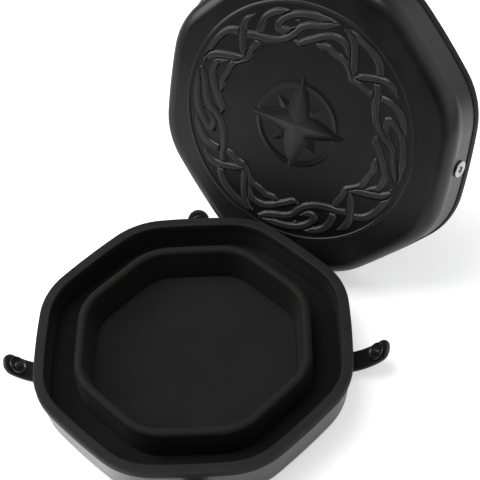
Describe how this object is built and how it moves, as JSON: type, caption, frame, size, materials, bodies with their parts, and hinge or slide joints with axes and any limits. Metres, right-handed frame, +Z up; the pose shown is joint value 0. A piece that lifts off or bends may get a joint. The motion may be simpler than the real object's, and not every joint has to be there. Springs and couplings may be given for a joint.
{
  "type": "dice storage chest",
  "caption": "Octagonal lined tray with a ring-shaped storage channel, snap straps at its sides and a deep embossed lid, taken off and stood on edge behind it.",
  "frame": {"origin": "centre of the base's flat underside, on the table", "axes": "+Z up; +X to the right and -Y to the front, each through the middle of a flat side with a strap; the lid stands behind the base to the right"},
  "size_m": [0.3682, 0.3896, 0.2443],
  "materials": {
    "leatherette": "satin moulded leatherette, fine grain",
    "lid_leatherette": "satin embossed leatherette",
    "rim_band": "matte fine-grained bound edge",
    "strap_leather": "semi-gloss black with stitched edges",
    "snap_black": "gloss black enamel",
    "snap_steel": "satin nickel-plated steel",
    "lining_cloth": "matte short-napped suede cloth",
    "moulded_foam": "matte pressed foam, hidden",
    "soft_foam": "matte soft foam, hidden",
    "board": "plain grey-brown board, hidden"
  },
  "bodies": {
    "base": {"base_skin_cover": "leatherette", "base_shell": "moulded_foam", "base_rim_band": "rim_band", "underfloor_foam": "soft_foam", "floor_board": "board", "channel_lining": "lining_cloth", "divider_core": "moulded_foam", "divider_cloth_cover": "lining_cloth", "tray_floor_pad": "lining_cloth", "strap_tails": "strap_leather"},
    "strap_front": {"strap_front": "strap_leather", "snap_stud_front": "snap_black", "snap_cap_front": "snap_black"},
    "strap_right": {"strap_right": "strap_leather", "snap_stud_right": "snap_black", "snap_cap_right": "snap_black"},
    "strap_back": {"strap_back": "strap_leather", "snap_stud_back": "snap_black", "snap_cap_back": "snap_black"},
    "strap_left": {"strap_left": "strap_leather", "snap_stud_left": "snap_black", "snap_cap_left": "snap_black"},
    "lid": {"lid_skin_cover": "lid_leatherette", "lid_shell": "moulded_foam", "lid_lining": "lining_cloth", "lid_mouth_band": "rim_band", "lid_snap_sockets": "snap_steel", "lid_snap_rivets": "snap_steel"}
  },
  "joints": [
    {"name": "strap_front_bend", "type": "hinge", "parent": "base", "child": "strap_front", "pos_m": [0, -0.1126, 0.007], "axis": [-1, 0, 0], "range_deg": [-25, 36], "stiffness_Nm_per_rad": 0.03},
    {"name": "strap_right_bend", "type": "hinge", "parent": "base", "child": "strap_right", "pos_m": [0.1126, 0, 0.007], "axis": [0, -1, 0], "range_deg": [-25, 36], "stiffness_Nm_per_rad": 0.03},
    {"name": "strap_back_bend", "type": "hinge", "parent": "base", "child": "strap_back", "pos_m": [0, 0.1126, 0.007], "axis": [1, 0, 0], "range_deg": [-25, 36], "stiffness_Nm_per_rad": 0.03},
    {"name": "strap_left_bend", "type": "hinge", "parent": "base", "child": "strap_left", "pos_m": [-0.1126, 0, 0.007], "axis": [0, 1, 0], "range_deg": [-25, 36], "stiffness_Nm_per_rad": 0.03},
    {"name": "lid_lift_off", "type": "slide", "parent": "base", "child": "lid", "axis": [0.1795, 0.3121, 0.933], "range_m": [0, 0.26]}
  ]
}
